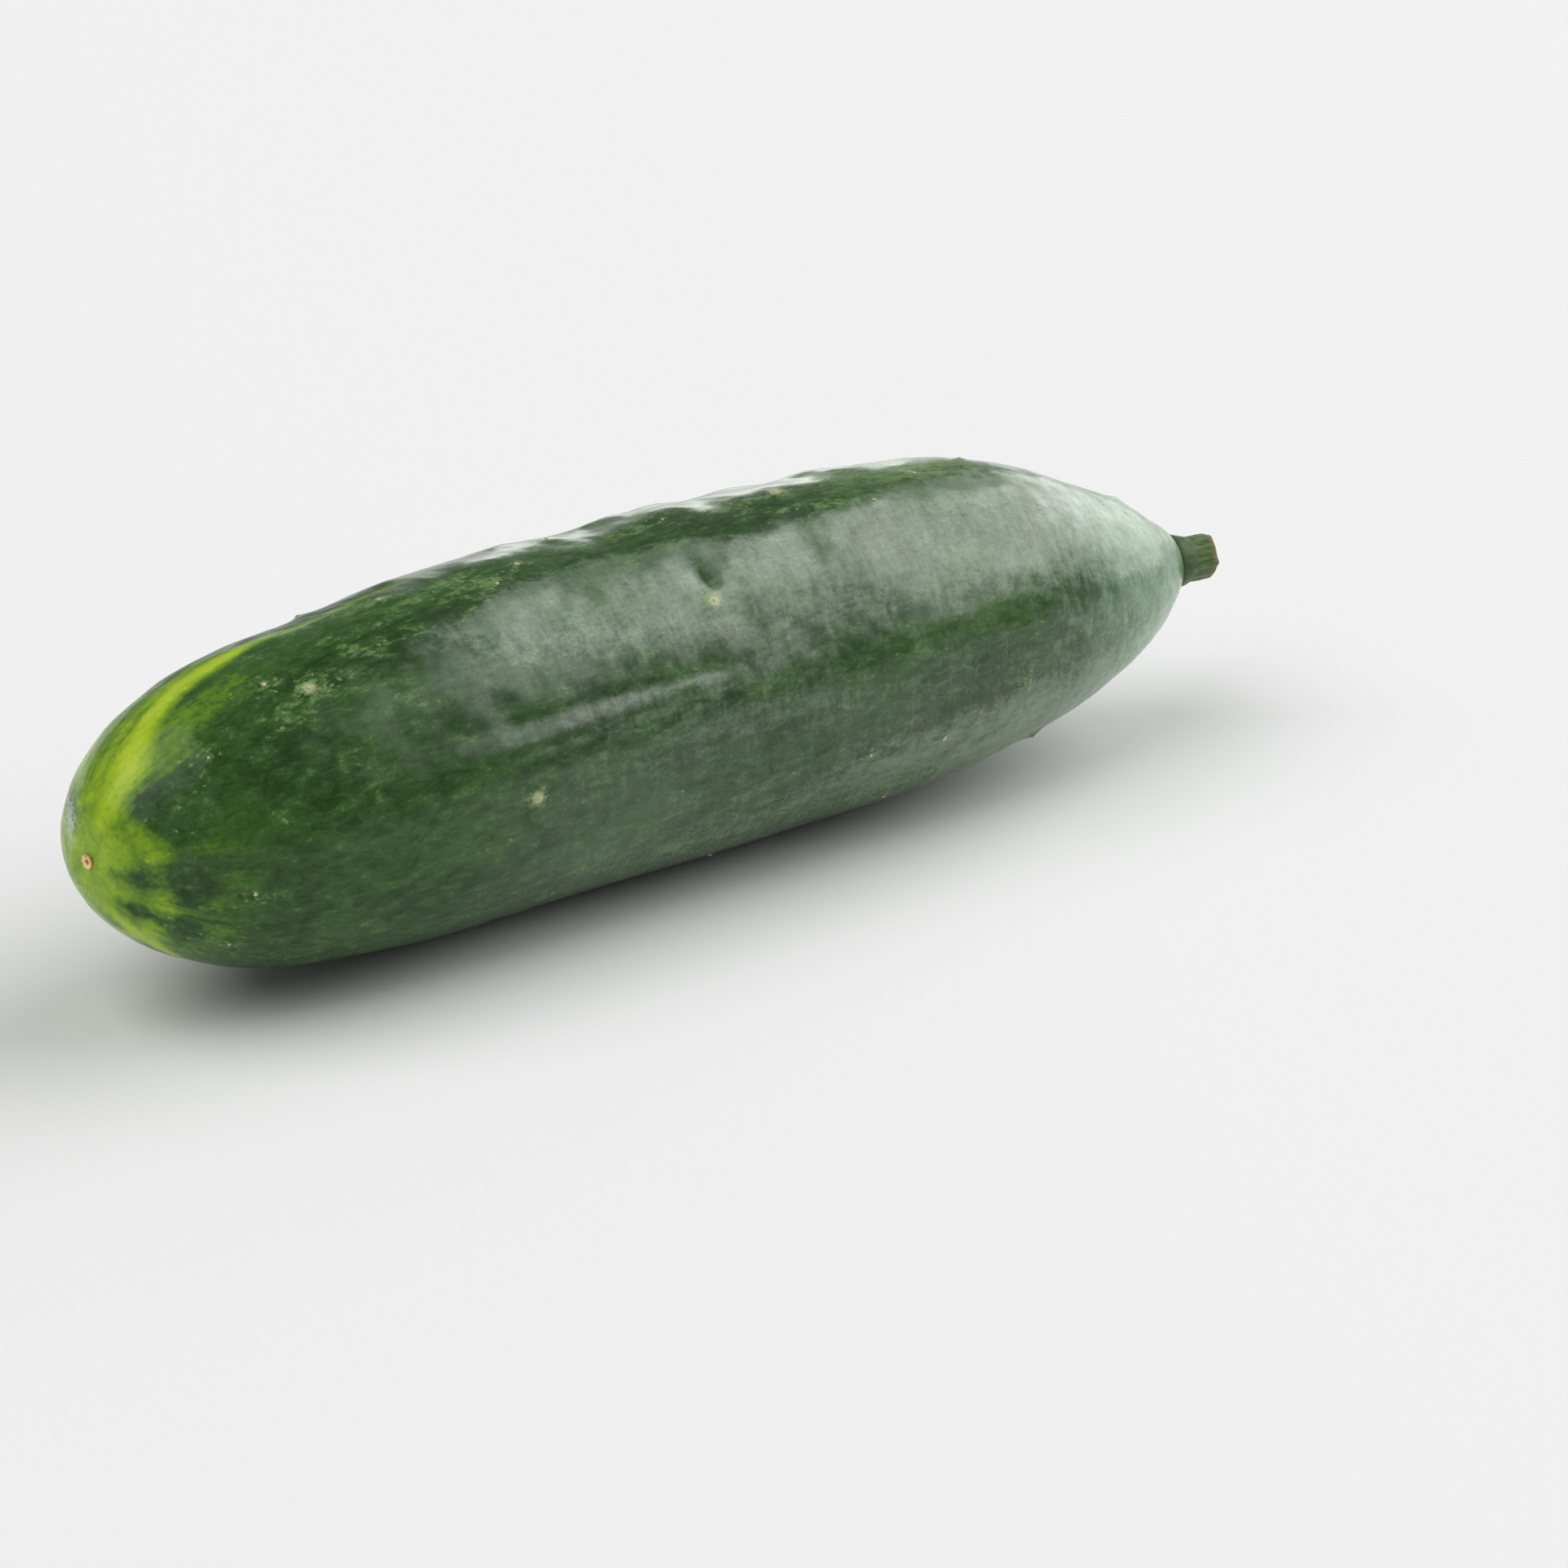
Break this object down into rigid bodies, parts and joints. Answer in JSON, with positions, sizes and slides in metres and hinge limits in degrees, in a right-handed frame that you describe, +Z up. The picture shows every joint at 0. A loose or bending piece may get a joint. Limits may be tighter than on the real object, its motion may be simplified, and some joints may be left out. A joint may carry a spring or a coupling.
{
  "type": "cucumber",
  "caption": "Whole slicing cucumber with a gentle bow, a blunt blossom end with its corky scar, and a short cut stem stub, lying on its side.",
  "frame": {"origin": "on the surface the cucumber lies on, under the middle of its box", "axes": "+X along the cucumber towards its stem end, +Y towards the outer side of its bow, +Z up from the surface it lies on"},
  "size_m": [0.215, 0.0568, 0.0554],
  "materials": {
    "skin": "satin"
  },
  "bodies": {
    "root": {"cucumber": "skin"}
  },
  "joints": []
}
